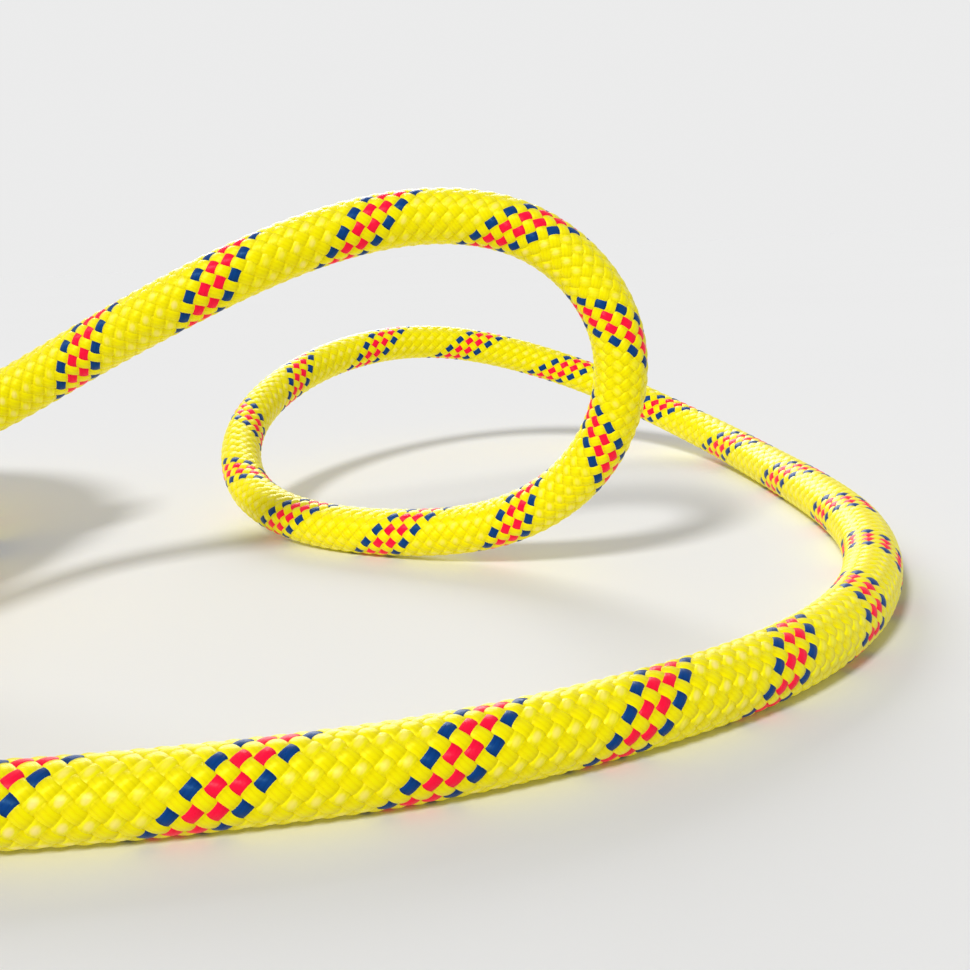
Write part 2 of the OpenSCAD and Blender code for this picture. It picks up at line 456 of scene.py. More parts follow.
class Tree:
    """Short calls for building a node tree."""

    def __init__(self, tree: bpy.types.NodeTree) -> None:
        """Wrap tree."""
        self.tree = tree

    def node(self, kind: str, **inputs: object) -> bpy.types.Node:
        """Add a node.

        Args:
            kind: The node's type name.
            inputs: Value or socket for each input, by name, with _ for a space.

        Returns:
            The new node.
        """
        made = self.tree.nodes.new(kind)
        self.fill(made, **inputs)
        return made

    def fill(self, node: bpy.types.Node, **inputs: object) -> None:
        """Feed inputs of a node, named as for node()."""
        for name, value in inputs.items():
            self.feed(node.inputs[name.replace("_", " ")], value)

    def feed(self, socket: Socket, value: object) -> None:
        """Link a value to a socket, or set it there.

        Args:
            socket: The input.
            value: An output, or a plain value. A colour may leave its alpha out.
        """
        if isinstance(value, bpy.types.NodeSocket):
            self.tree.links.new(value, socket)
        elif socket.type == "RGBA":
            socket.default_value = (*value[:3], 1.0)
        else:
            socket.default_value = value

    def group(self, group: bpy.types.NodeTree, **inputs: object) -> bpy.types.Node:
        """Place a node group.

        Args:
            group: The group's tree.
            inputs: As for node().

        Returns:
            The new node.
        """
        made = self.tree.nodes.new("ShaderNodeGroup")
        made.node_tree = group
        self.fill(made, **inputs)
        return made

    def math(self, operation: str, *values: object) -> Socket:
        """Add a Math node.

        Args:
            operation: What it does.
            values: Its one to three values or sockets.

        Returns:
            Its output.
        """
        made = self.tree.nodes.new("ShaderNodeMath")
        made.operation = operation
        for socket, value in zip(made.inputs, values):
            self.feed(socket, value)
        return made.outputs[0]

    def times(self, a: object, b: object) -> Socket:
        """Product of two values."""
        return self.math("MULTIPLY", a, b)

    def plus(self, a: object, b: object) -> Socket:
        """Sum of two values."""
        return self.math("ADD", a, b)

    def minus(self, a: object, b: object) -> Socket:
        """Difference of two values."""
        return self.math("SUBTRACT", a, b)

    def times_plus(self, a: object, b: object, c: object) -> Socket:
        """Product of a and b, with c added."""
        return self.math("MULTIPLY_ADD", a, b, c)

    def ramp(self, value: object, ramp: Ramp) -> Socket:
        """Value on a straight ramp."""
        return self.times_plus(value, *ramp)

    def power(self, a: object, b: object) -> Socket:
        """Value a raised to b."""
        return self.math("POWER", a, b)

    def clamp(self, value: object) -> Socket:
        """Value held between 0 and 1."""
        return self.node("ShaderNodeClamp", Value=value).outputs[0]

    def mix(self, share: object, first: object, second: object) -> Socket:
        """Add a colour mix.

        Args:
            share: 0 for the first colour only, 1 for the second.
            first: First colour.
            second: Second colour.

        Returns:
            Its output.
        """
        made = self.tree.nodes.new("ShaderNodeMix")
        made.data_type = "RGBA"
        for k, value in ((0, share), (6, first), (7, second)):
            self.feed(made.inputs[k], value)
        return made.outputs[2]

    def noise(self, vector: Socket, grain: Grain) -> Socket:
        """A noise texture's value between 0 and 1."""
        made = self.node("ShaderNodeTexNoise", Vector=vector, Scale=grain[0], Detail=grain[1])
        return made.outputs["Fac"]

    def bump(self, height: Socket, distance: float) -> Socket:
        """A Bump node's normal for a height in units of distance."""
        made = self.node("ShaderNodeBump", Height=height, Distance=distance, Strength=1.0)
        return made.outputs["Normal"]

    def own_map(self) -> Socket:
        """Read the piece's own map.

        Returns:
            The UV: on a yarn, crossings along it and the share across it.
        """
        made = self.tree.nodes.new("ShaderNodeUVMap")
        made.uv_map = YARN_MAP
        return made.outputs["UV"]

    def object_place(self) -> Socket:
        """Position in the part's frame, in metres."""
        return self.tree.nodes.new("ShaderNodeTexCoord").outputs["Object"]


def new_material(name: str) -> tuple[bpy.types.Material, Tree, bpy.types.Node]:
    """Make a material with one Principled shader.

    Args:
        name: The material's name.

    Returns:
        The material, its tree and its Principled node.
    """
    material = bpy.data.materials.new(name)
    material.use_nodes = True
    return material, Tree(material.node_tree), material.node_tree.nodes["Principled BSDF"]


def build_group(
    name: str,
    inputs: Sequence[tuple[str, str, object]],
    outputs: Sequence[str],
    fill: Callable[[Tree, bpy.types.Node, bpy.types.Node], None],
) -> bpy.types.NodeTree:
    """Make a shader node group once and return it.

    Args:
        name: The group's name.
        inputs: Name, socket type and default of each input.
        outputs: Name of each output, all of them values.
        fill: Builds the nodes between the group's input and output nodes.

    Returns:
        The group's tree.
    """
    if name in bpy.data.node_groups:
        return bpy.data.node_groups[name]
    group = bpy.data.node_groups.new(name, "ShaderNodeTree")
    for label, kind, default in inputs:
        made = group.interface.new_socket(label, in_out="INPUT", socket_type=kind)
        if default is not None:
            made.default_value = default
    for label in outputs:
        group.interface.new_socket(label, in_out="OUTPUT", socket_type="NodeSocketFloat")
    tree = Tree(group)
    fill(tree, tree.node("NodeGroupInput"), tree.node("NodeGroupOutput"))
    return group


@dataclass(frozen=True)
class YarnThreads:
    """Plies and filaments of a sheath yarn, and how far each point is from a crown.

    Heights are shares of the relief. The map counts crossings along the yarn, and runs
    from 0 to 1 across it.
    """

    ply_edge: float = 0.55
    ply_height: float = 0.45
    filament_height: float = 0.26
    wander: Grain = (1.0, 3.0)
    wander_along: float = 3.0
    wander_across: float = 9.0
    wander_shift: float = 1.6
    wander_height: float = 0.22
    dive_edge: float = 2.6
    crown_narrowing: float = 2.6
    crown_fall: float = 1.5

    def _fill(self, tree: Tree, given: bpy.types.Node, result: bpy.types.Node) -> None:
        """Build the pattern.

        Args:
            tree: The group's tree.
            given: Its input node.
            result: Its output node.
        """
        parts = tree.node("ShaderNodeSeparateXYZ", Vector=given.outputs["Map"])
        along, across = parts.outputs["X"], parts.outputs["Y"]
        plies = tree.times(across, given.outputs["Plies"])
        lobe = tree.math("ABSOLUTE", tree.math("SINE", tree.times(plies, math.pi)))
        lobe = tree.power(lobe, self.ply_edge)
        warp = tree.node(
            "ShaderNodeCombineXYZ",
            X=tree.times(along, self.wander_along),
            Y=tree.times(across, self.wander_across),
        )
        wander = tree.noise(warp.outputs[0], self.wander)
        slant = tree.times(along, given.outputs["Twist"])
        lines = tree.plus(tree.times(across, given.outputs["Filaments"]), slant)
        lines = tree.plus(lines, tree.times(wander, self.wander_shift))
        lines = tree.times_plus(tree.math("SINE", tree.times(lines, TAU)), 0.5, 0.5)
        height = tree.times(lines, self.filament_height)
        height = tree.times_plus(lobe, self.ply_height, height)
        height = tree.times_plus(wander, self.wander_height, height)
        nearest = tree.minus(tree.math("FRACT", tree.plus(along, 0.5)), 0.5)
        dive = tree.times(tree.math("ABSOLUTE", nearest), 2.0)
        aside = tree.times(tree.minus(across, 0.5), self.crown_narrowing)
        off = tree.plus(tree.power(dive, 2.0), tree.power(aside, 2.0))
        crown = tree.minus(1.0, tree.times(off, self.crown_fall))
        tree.fill(
            result,
            Height=height,
            Lobe=lobe,
            Lines=lines,
            Dive=tree.power(dive, self.dive_edge),
            Crown=tree.math("MAXIMUM", crown, 0.0),
            Wander=wander,
        )

    def group(self) -> bpy.types.NodeTree:
        """Make the group, once.

        Returns:
            Its tree.
        """
        counts = [(label, "NodeSocketFloat", 1.0) for label in ("Plies", "Filaments", "Twist")]
        return build_group(
            "yarn_threads",
            [("Map", "NodeSocketVector", None), *counts],
            ["Height", "Lobe", "Lines", "Dive", "Crown", "Wander"],
            self._fill,
        )


# ---------------------------------------------------------------- finishes


@dataclass(frozen=True)
class YarnFinish:
    """Dyed polyamide sheath yarn, three plies of fine filament side by side."""

    name: str
    colour: Colour
    # Colour that the painted shade and the worn patches darken towards.
    shade: Colour
    plies: float = 3.0
    filaments: float = 17.0
    twist: float = 2.0
    relief: float = 0.00004
    patches: Grain = (55.0, 3.0)
    # Painted shade where the yarn dives under its neighbours and in the grooves between its plies.
    dive_shade: float = 0.55
    groove_shade: float = 0.35
    wear: Ramp = (0.5, -0.10)
    wear_shade: float = 0.35
    filament_light: float = 0.10
    roughness: Ramp = (0.16, 0.22)
    specular: float = 0.30
    tint: Colour = (1.0, 1.0, 1.0)
    satin: float = 0.60
    satin_turn: float = 0.25
    # Emission in the yarn's own colour: a painted glow, though the yarn is no lamp.
    glow: float = 0.0
    # Painted cream highlight on the crowns, in patches: its colour, its ramp over the patches and
    # its strength.
    highlight_cream: Colour = (1.0, 0.80, 0.30)
    highlight_ramp: Ramp = (2.6, -0.85)
    crown_highlight: float = 0.0

    def _dye(self, tree: Tree, threads: bpy.types.Node) -> Socket:
        """Build the colour: painted shade where the yarn dives and between its plies, darker worn
        patches, and a painted cream highlight on some of its crowns.

        Args:
            tree: The material's tree.
            threads: Its node of the threads' group.

        Returns:
            The colour.
        """
        out = threads.outputs
        patches = tree.noise(tree.object_place(), self.patches)
        # Painted shade in the grooves between plies and where the yarn dives under its neighbours.
        groove = tree.times(tree.minus(1.0, out["Lobe"]), self.groove_shade)
        dark = tree.plus(tree.times(out["Dive"], self.dive_shade), groove)
        worn = tree.times(tree.ramp(patches, self.wear), self.wear_shade)
        dark = tree.plus(dark, worn)
        dark = tree.times_plus(out["Lines"], -self.filament_light, dark)
        dyed = tree.mix(tree.clamp(dark), self.colour, self.shade)
        # Painted highlight: cream towards the middle of each crown, in patches.
        crown_highlight = tree.times(out["Crown"], self.crown_highlight)
        crown_highlight = tree.times(crown_highlight, tree.ramp(patches, self.highlight_ramp))
        return tree.mix(tree.clamp(crown_highlight), dyed, self.highlight_cream)

    def material(self) -> bpy.types.Material:
        """Build the material.

        Returns:
            The material, ready for a piece.
        """
        material, tree, shader = new_material(self.name)
        threads = tree.group(
            YarnThreads().group(),
            Map=tree.own_map(),
            Plies=self.plies,
            Filaments=self.filaments,
            Twist=self.twist,
        )
        tangent = tree.node("ShaderNodeTangent")
        tangent.direction_type, tangent.uv_map = "UV_MAP", YARN_MAP
        tree.fill(
            shader,
            Base_Color=self._dye(tree, threads),
            Roughness=tree.ramp(threads.outputs["Wander"], self.roughness),
            Normal=tree.bump(threads.outputs["Height"], self.relief),
            Specular_IOR_Level=self.specular,
            Specular_Tint=self.tint,
            Anisotropic=self.satin,
            Anisotropic_Rotation=self.satin_turn,
            Tangent=tangent.outputs[0],
            Emission_Color=self.colour,
            Emission_Strength=self.glow,
        )
        return material


@dataclass(frozen=True)
class CoreFinish:
    """Bright white polyamide of the load-bearing strands."""

    name: str = "white_core_strand"
    colour: Colour = (0.86, 0.85, 0.80)
    shade: Colour = (0.62, 0.60, 0.52)
    fibre: Grain = (2600.0, 3.0)
    blotches: Grain = (300.0, 2.0)
    blotch_share: float = 0.8
    roughness: Ramp = (0.2, 0.45)
    relief: float = 0.0001

    def material(self) -> bpy.types.Material:
        """Build the material.

        Returns:
            The material, ready for a piece.
        """
        material, tree, shader = new_material(self.name)
        place = tree.object_place()
        fibre = tree.noise(place, self.fibre)
        share = tree.times(tree.noise(place, self.blotches), self.blotch_share)
        tree.fill(
            shader,
            Base_Color=tree.mix(share, self.colour, self.shade),
            Roughness=tree.ramp(fibre, self.roughness),
            Normal=tree.bump(fibre, self.relief),
        )
        return material


@dataclass(frozen=True)
class ShrinkFinish:
    """Black shrink tube, satin, with fine scuffs."""

    name: str = "black_shrink_tube"
    colour: Colour = (0.018, 0.018, 0.020)
    scuffed: Colour = (0.075, 0.075, 0.080)
    scuffs: Grain = (900.0, 4.0)
    scuff_stretch: tuple[float, float, float] = (0.25, 1.0, 1.0)
    scuff_edge: float = 3.0
    skin: Grain = (4200.0, 2.0)
    roughness: Ramp = (0.45, 0.34)
    relief: float = 0.00003

    def material(self) -> bpy.types.Material:
        """Build the material.

        Returns:
            The material, ready for a piece.
        """
        material, tree, shader = new_material(self.name)
        place = tree.object_place()
        along = tree.node("ShaderNodeMapping", Vector=place, Scale=self.scuff_stretch)
        scuff = tree.power(tree.noise(along.outputs[0], self.scuffs), self.scuff_edge)
        tree.fill(
            shader,
            Base_Color=tree.mix(scuff, self.colour, self.scuffed),
            Roughness=tree.ramp(scuff, self.roughness),
            Normal=tree.bump(tree.noise(place, self.skin), self.relief),
        )
        return material


@dataclass(frozen=True)
class SealFinish:
    """Rope end melted together: glassy, browned yellow with darker burns."""

    name: str = "melted_rope_end"
    colour: Colour = (0.62, 0.50, 0.03)
    burnt: Colour = (0.16, 0.075, 0.012)
    blotches: Grain = (420.0, 4.0)
    burn: Ramp = (2.4, -0.75)
    skin: Grain = (900.0, 3.0)
    roughness: Ramp = (0.3, 0.16)
    relief: float = 0.0002
    glaze: float = 0.4

    def material(self) -> bpy.types.Material:
        """Build the material.

        Returns:
            The material, ready for a piece.
        """
        material, tree, shader = new_material(self.name)
        place = tree.object_place()
        blotch = tree.noise(place, self.blotches)
        share = tree.clamp(tree.ramp(blotch, self.burn))
        tree.fill(
            shader,
            Base_Color=tree.mix(share, self.colour, self.burnt),
            Roughness=tree.ramp(blotch, self.roughness),
            Normal=tree.bump(tree.noise(place, self.skin), self.relief),
            Coat_Weight=self.glaze,
        )
        return material


@dataclass(frozen=True)
class TapeFinish:
    """Woven nylon tape. Its map is in millimetres along and across the tape."""

    name: str = "black_woven_tape"
    colour: Colour = (0.022, 0.023, 0.028)
    # Colour of the raised threads: painted light on them, against painted shade in the weave's
    # hollows.
    raised_lit: Colour = (0.055, 0.057, 0.065)
    weft: float = 0.75
    warp: float = 0.9375
    weave_height: float = 0.35
    rib_height: float = 0.4
    fuzz: Grain = (3200.0, 3.0)
    fuzz_height: float = 0.35
    roughness: Ramp = (0.25, 0.55)
    relief: float = 0.00012
    specular: float = 0.35
    nap: float = 0.12
    nap_roughness: float = 0.4

    def material(self) -> bpy.types.Material:
        """Build the material.

        Returns:
            The material, ready for a piece.
        """
        material, tree, shader = new_material(self.name)
        parts = tree.node("ShaderNodeSeparateXYZ", Vector=tree.own_map()).outputs
        waves = [
            tree.math("SINE", tree.times(parts[axis], math.pi / spacing))
            for axis, spacing in (("X", self.weft), ("Y", self.warp))
        ]
        rib = tree.times(tree.math("ABSOLUTE", waves[1]), self.rib_height)
        fuzz = tree.noise(tree.object_place(), self.fuzz)
        height = tree.times_plus(tree.times(*waves), self.weave_height, rib)
        height = tree.times_plus(fuzz, self.fuzz_height, height)
        # Lighter where the weave stands higher: painted light on the raised threads and painted
        # shade in the hollows, with random fuzz.
        tree.fill(
            shader,
            Base_Color=tree.mix(tree.clamp(height), self.colour, self.raised_lit),
            Roughness=tree.ramp(fuzz, self.roughness),
            Normal=tree.bump(height, self.relief),
            Sheen_Weight=self.nap,
            Sheen_Roughness=self.nap_roughness,
            Specular_IOR_Level=self.specular,
        )
        return material


@dataclass(frozen=True)
class PaperFinish:
    """Matte studio paper with a faint mottle."""

    name: str = "studio_paper"
    colour: Colour = (0.84, 0.84, 0.84)
    mottle: Grain = (3.0, 2.0)
    mottle_shade: float = 0.985
    roughness: float = 0.9

    def material(self) -> bpy.types.Material:
        """Build the material.

        Returns:
            The material, ready for a piece.
        """
        material, tree, shader = new_material(self.name)
        darker = tuple(self.mottle_shade * c for c in self.colour)
        mottle = tree.noise(tree.object_place(), self.mottle)
        tree.fill(
            shader,
            Base_Color=tree.mix(mottle, self.colour, darker),
            Roughness=self.roughness,
            Specular_IOR_Level=0.0,
        )
        return material


LEMON = YarnFinish(
    "lemon_yarn",
    colour=(0.94, 0.83, 0.000),
    shade=(0.67, 0.54, 0.000),
    specular=0.6,
    tint=(1.0, 0.93, 0.10),
    glow=0.12,
)
# Lit copy of the lemon for the left-wound yarns: paler and glossier, with a painted cream
# highlight on its crowns.
LEMON_PAINTED_LIGHT = YarnFinish(
    "lemon_yarn_painted_highlight",
    colour=(0.97, 0.88, 0.000),
    shade=(0.70, 0.57, 0.000),
    specular=0.7,
    tint=(1.0, 0.93, 0.20),
    glow=0.12,
    crown_highlight=1.0,
)
NAVY = YarnFinish(
    "navy_yarn",
    colour=(0.003, 0.054, 0.260),
    shade=(0.001, 0.020, 0.110),
    specular=0.2,
    tint=(0.3, 0.8, 1.0),
)
CRIMSON = YarnFinish(
    "crimson_yarn",
    colour=(0.98, 0.003, 0.046),
    shade=(0.64, 0.002, 0.017),
    tint=(1.0, 0.5, 0.5),
    glow=0.18,
)


@dataclass
class Wardrobe:
    """Every material of the rope, each built once. The yarns' are in YarnColour's order."""

    yarns: list[bpy.types.Material] = field(
        default_factory=lambda: [f.material() for f in (LEMON, NAVY, CRIMSON, LEMON_PAINTED_LIGHT)]
    )
    core: bpy.types.Material = field(default_factory=lambda: CoreFinish().material())
    shrink: bpy.types.Material = field(default_factory=lambda: ShrinkFinish().material())
    seal: bpy.types.Material = field(default_factory=lambda: SealFinish().material())
    tape: bpy.types.Material = field(default_factory=lambda: TapeFinish().material())


def dress(piece: bpy.types.Object, *materials: bpy.types.Material) -> None:
    """Give a piece its materials in place of any that it has.

    Args:
        piece: The piece.
        materials: Its materials, in the order of their places.
    """
    slots = piece.data.materials
    if len(slots):
        slots.clear()
    for material in materials:
        slots.append(material)


# ---------------------------------------------------------------- braid


@dataclass
class Braid:
    """Twenty yarns, ten wound each way, one over and one under.

    A crossing is a step of one twentieth of the lay. At whole crossings the rope shows
    a ring of ten yarn crowns: the left-wound yarns' at even ones, the others' at odd.
    """

    route: RopeRoute
    carriers: int = 10
    crown_r: float = 0.00505
    valley_r: float = 0.00470
    swing: float = 0.00013
    crown_height: float = 0.00030
    belly: float = 0.00024
    # Outline of a yarn: stations from one edge over its crown to the other, and back.
    over: tuple[float, ...] = (-1.0, -0.9, -0.68, -0.36, 0.0, 0.36, 0.68, 0.9, 1.0)
    under: tuple[float, ...] = (0.66, 0.0, -0.66)
    crown_flat: float = 2.1
    crown_edge: float = 0.62
    # Share of its own lane that a yarn of each winding covers: the tracers' side is slimmer.
    covers: tuple[float, float] = (0.94, 1.06)
    slim_height: float = 0.92
    rings_per_crossing: int = 4
    tracer_angle: float = math.radians(-46.0)
    # Left-wound yarns of the tracer. The second one is number 0.
    tracer: tuple[YarnColour, ...] = (
        YarnColour.NAVY, YarnColour.CRIMSON, YarnColour.CRIMSON, YarnColour.NAVY,
    )  # fmt: skip
    # Place along the rope and the lay there, both in millimetres. Handling opens and
    # closes the lay a little, and the tracer shows it.
    lays: tuple[tuple[int, int], ...] = (
        (0, 29), (80, 28), (120, 25), (180, 23), (210, 24), (250, 29), (300, 37),
        (350, 38), (380, 34), (430, 31), (475, 33), (525, 29), (605, 30), (640, 26),
        (670, 22), (700, 27), (730, 29), (760, 28), (850, 28),
    )  # fmt: skip
    crossing_marks: np.ndarray = field(init=False)

    def __post_init__(self) -> None:
        """Count the crossings along the rope from its lay."""
        s = self.route.strand.length
        lay = MM * np.interp(s / MM, *zip(*self.lays))
        rate = 2 * self.carriers / lay
        steps = 0.5 * (rate[1:] + rate[:-1]) * np.diff(s)
        self.crossing_marks = np.array([s, np.concatenate([[0.0], np.cumsum(steps)])])

    @property
    def mid_r(self) -> float:
        """Radius about which the yarns swing."""
        return self.crown_r - self.swing - self.crown_height

    @property
    def half_step(self) -> float:
        """Angle round the rope from one crossing to the next."""
        return math.pi / self.carriers

    @property
    def turned(self) -> float:
        """Angle of the braid's own frame, which puts the tracer where it starts."""
        return self.tracer_angle - self.half_step

    def crossing_at(self, s: Values) -> Values:
        """Crossings from the loose end to arc length s."""
        return np.interp(s, *self.crossing_marks)

    def length_at(self, crossing: Values) -> Values:
        """Arc length at a crossing count."""
        return np.interp(crossing, *self.crossing_marks[::-1])

    def colour_of(self, winding: Winding, number: np.ndarray) -> np.ndarray:
        """Place of each yarn's colour.

        Args:
            winding: Which way the yarns wind.
            number: Numbers of the yarns, from 0, with any whole turns added.

        Returns:
            The value of each yarn's YarnColour.
        """
        if winding is Winding.RIGHT:
            return np.full(number.shape, YarnColour.LEMON.value)
        # Left-wound lemon yarns take the lit copy of the lemon, with its painted highlight.
        colour = np.full(number.shape, YarnColour.LEMON_PAINTED_LIGHT.value)
        for k, dye in enumerate(self.tracer, start=-1):
            colour[(number - k) % self.carriers == 0] = dye.value
        return colour

    def section(self) -> np.ndarray:
        """Work out a yarn's outline.

        Returns:
            Rows of the share across it from -1 to 1, and the height in metres.
        """
        over, under = np.array(self.over), np.array(self.under)
        crown = self.crown_height * (1.0 - np.abs(over) ** self.crown_flat) ** self.crown_edge
        hollow = -self.belly * (1.0 - np.abs(under) ** 2.0)
        return np.concatenate([np.stack([over, crown], -1), np.stack([under, hollow], -1)])

    def yarn(self, name: str, winding: Winding, number: int, end: float) -> bpy.types.Object:
        """Make one yarn from the rope's loose end to arc length end.

        Args:
            name: The piece's name.
            winding: Which way the yarn winds.
            number: The yarn's number among those wound the same way.
            end: Arc length at which it stops.

        Returns:
            The yarn, with its own map.
        """
        last = self.crossing_at(end)
        rings = int(last * self.rings_per_crossing) + 1
        crossing = np.linspace(0.0, last, rings)
        s = self.length_at(crossing)
        sense = winding.value
        angle = self.half_step * (sense * crossing + 2 * number) + self.turned
        surface_r = self.mid_r + self.swing
        slope = surface_r * np.gradient(angle, s)
        turn = 1.0 / np.sqrt(1.0 + slope**2)
        lane = TAU * surface_r / self.carriers * turn
        slim = winding is Winding.LEFT
        half = 0.5 * self.covers[0 if slim else 1] * lane
        swing = self.swing * np.cos(math.pi * crossing) * -sense
        outline = self.section()
        x = outline[None, :, 0] * half[:, None]
        at_s = np.clip(s[:, None] - x * (slope * turn)[:, None], 0.0, end)
        at_angle = angle[:, None] + x * turn[:, None] / surface_r
        height = outline[:, 1] * (self.slim_height if slim else 1.0)
        radius = (self.mid_r + swing)[:, None] + height[None]
        points = self.route.strand.surface(at_s, at_angle, radius).reshape(-1, 3)
        sides = len(outline)
        quads = band_quads(rings, sides)
        caps = np.arange(rings * sides).reshape(rings, sides)[[0, -1]]
        caps[0] = caps[0][::-1].copy()
        map_start = self.carriers * (2 * number + sense + 1)
        own = np.stack(
            [map_start + np.repeat(crossing, sides), np.tile(0.5 + 0.5 * outline[:, 0], rings)], -1
        )
        return new_piece(name, points, [quads, caps], uv=[own[quads], own[caps]])

    def _cells(self, start: int, rows: int) -> np.ndarray:
        """List the triangles between whole crossings, two to a quad of the lattice.

        Each quad is split from valley to valley, so each yarn's cell has its own faces.

        Args:
            start: First crossing.
            rows: Number of crossings from the first to the last.

        Returns:
            T x 3 x 2: the crossing and the column of each corner.
        """
        row, column = np.meshgrid(np.arange(rows), np.arange(2 * self.carriers), indexing="ij")
        row, column = row.ravel() + start, column.ravel()
        corners = np.array([(0, 0), (1, 0), (1, 1), (0, 1)])
        lattice = np.stack([row, column], -1)[:, None] + corners
        halves = np.where(
            ((row + column) % 2 == 0)[:, None, None],
            np.array([(0, 1, 3), (2, 3, 1)]),
            np.array([(1, 2, 0), (3, 0, 2)]),
        )
        return lattice[np.arange(len(row))[:, None, None], halves].reshape(-1, 3, 2)

    def _cell_map(self, cells: np.ndarray) -> tuple[np.ndarray, np.ndarray]:
        """Map each yarn's cells along and across that yarn, and find its colour.

        Args:
            cells: The triangles that _cells() gives.

        Returns:
            The UV of each corner, and the material place of each triangle.
        """
        c, q = cells[..., 0], cells[..., 1]
        left = c[:, 0] % 2 == 0
        own_left = (q[:, 0] + c[:, 0]) // 2
        own_right = (q[:, 0] - c[:, 0]) // 2
        across_left = (q + c) / 2.0 - own_left[:, None]
        across_right = (q - c) / 2.0 - own_right[:, None]
        across = np.where(left[:, None], across_left, across_right)
        along = np.where(left[:, None], -across_right, across_left)
        number = np.where(left, own_left, own_right) % self.carriers
        map_start = c[:, 0] + self.carriers * (2 * number + np.where(left, 0, 1))
        paint = np.where(
            left,
            self.colour_of(Winding.LEFT, own_left),
            self.colour_of(Winding.RIGHT, own_right),
        )
        return np.stack([along + map_start[:, None], across + 0.5], -1), paint

    def skin(self, name: str, start: int, end: int) -> bpy.types.Object:
        """Make the braid's outside between two whole crossings as one closed tube.

        Each crossing has a ring of twenty points, crowns and valleys in turn.

        Args:
            name: The piece's name.
            start: First crossing.
            end: Last crossing.

        Returns:
            The tube, with its own map and one material place for each yarn colour.
        """
        sides = 2 * self.carriers
        ring = np.arange(sides)
        crossing = np.arange(start, end + 1)
        crown = (crossing[:, None] + ring) % 2 == 0
        radius = np.where(crown, self.crown_r, self.valley_r)
        angle = self.half_step * ring + self.turned
        strand = self.route.strand
        wall = strand.surface(self.length_at(crossing)[:, None], angle[None], radius)
        middles = strand.axis(self.length_at(crossing[[0, -1]]))
        points = np.concatenate([wall.reshape(-1, 3), middles])
        cells = self._cells(start, end - start)
        own, paint = self._cell_map(cells)
        triangles = (cells[..., 0] - start) * sides + cells[..., 1] % sides
        base, far = len(points) - 2, (end - start) * sides
        following = (ring + 1) % sides
        near_fan = np.stack([np.full(sides, base), following, ring], -1)
        far_fan = np.stack([np.full(sides, base + 1), far + ring, far + following], -1)
        fans = np.concatenate([near_fan, far_fan])
        return new_piece(
            name,
            points,
            [triangles[:, ::-1], fans],
            uv=[own[:, ::-1], np.full((*fans.shape, 2), 0.5)],
            paint=[paint, np.zeros(len(fans))],
        )

    def lining(
        self, name: str, start: float, end: float, outer: float, inner: float, spacing: float
    ) -> tuple[bpy.types.Object, np.ndarray]:
        """Make the closed wall under the yarns, a hollow tube.

        Args:
            name: The piece's name.
            start: Arc length at which it starts.
            end: Arc length at which it ends.
            outer: Its outer radius.
            inner: Its bore's radius.
            spacing: Distance between its rings.

        Returns:
            The tube, and the points that it follows.
        """
        strand = self.route.strand
        sides = 2 * self.carriers
        rings = int((end - start) / spacing) + 2
        s = np.linspace(start, end, rings)
        ring = np.arange(sides)
        angle = TAU * ring / sides + self.turned
        walls = [
            strand.surface(s[:, None], angle[None], np.array([[r]])).reshape(-1, 3)
            for r in (outer, inner)
        ]
        base, last = rings * sides, (rings - 1) * sides
        following = (ring + 1) % sides
        lip = np.stack([ring, base + ring, base + following, following], -1)
        bore = band_quads(rings, sides, base=base)[:, ::-1]
        faces = [band_quads(rings, sides), bore, lip, (last + lip)[:, ::-1]]
        along = np.repeat(self.crossing_at(s), sides)
        own = np.tile(np.stack([along, np.tile(ring / 2.0 % 1.0, rings)], -1), (2, 1))
        piece = new_piece(name, np.concatenate(walls), faces, uv=[own[f] for f in faces])
        return piece, strand.axis(s)


# ---------------------------------------------------------------- sub-assemblies


